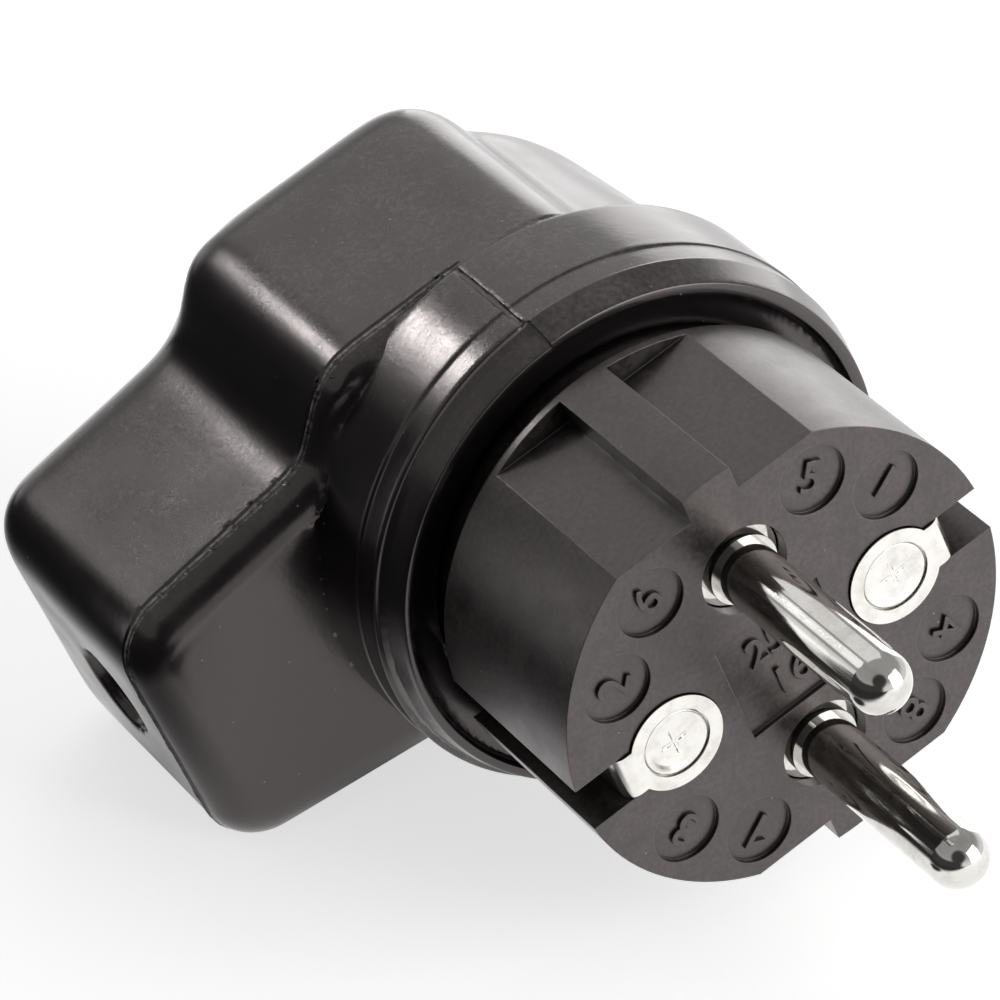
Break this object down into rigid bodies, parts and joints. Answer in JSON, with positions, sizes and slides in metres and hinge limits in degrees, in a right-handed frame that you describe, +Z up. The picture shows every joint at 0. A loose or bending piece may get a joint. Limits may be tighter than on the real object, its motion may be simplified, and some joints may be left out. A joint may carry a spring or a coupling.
{
  "type": "angled mains plug",
  "caption": "Angled earthed mains plug: round pins in a moulded contact carrier with side earth contacts, in a rubber hood whose cable inlet points sideways.",
  "frame": {"origin": "centre of the contact carrier's front face, midway between the pins", "axes": "+X the way the pins point, +Z up with the plug lying on the collar of its hood and on the lower corner of its arm, the cable inlet towards -Y and a little down"},
  "size_m": [0.0746, 0.0592, 0.0438],
  "materials": {
    "rubber": "semi-gloss moulded rubber",
    "carrier": "matte moulded thermoset",
    "plated_brass": "bright nickel plating",
    "brass": "turned, bare",
    "steel": "zinc plated"
  },
  "bodies": {
    "root": {"housing": "rubber", "contact_carrier": "carrier", "upper_pin": "plated_brass", "lower_pin": "plated_brass", "upper_terminal": "brass", "lower_terminal": "brass", "upper_terminal_screw": "steel", "lower_terminal_screw": "steel", "far_earth_contact": "plated_brass", "cable_side_earth_contact": "plated_brass", "far_earth_stud": "plated_brass", "cable_side_earth_stud": "plated_brass", "earth_bridge": "brass", "far_bridge_screw": "steel", "cable_side_bridge_screw": "steel", "earth_washer": "steel", "earth_terminal_screw": "steel", "cord_clamp_bar": "steel", "upper_clamp_screw": "steel", "lower_clamp_screw": "steel"}
  },
  "joints": []
}
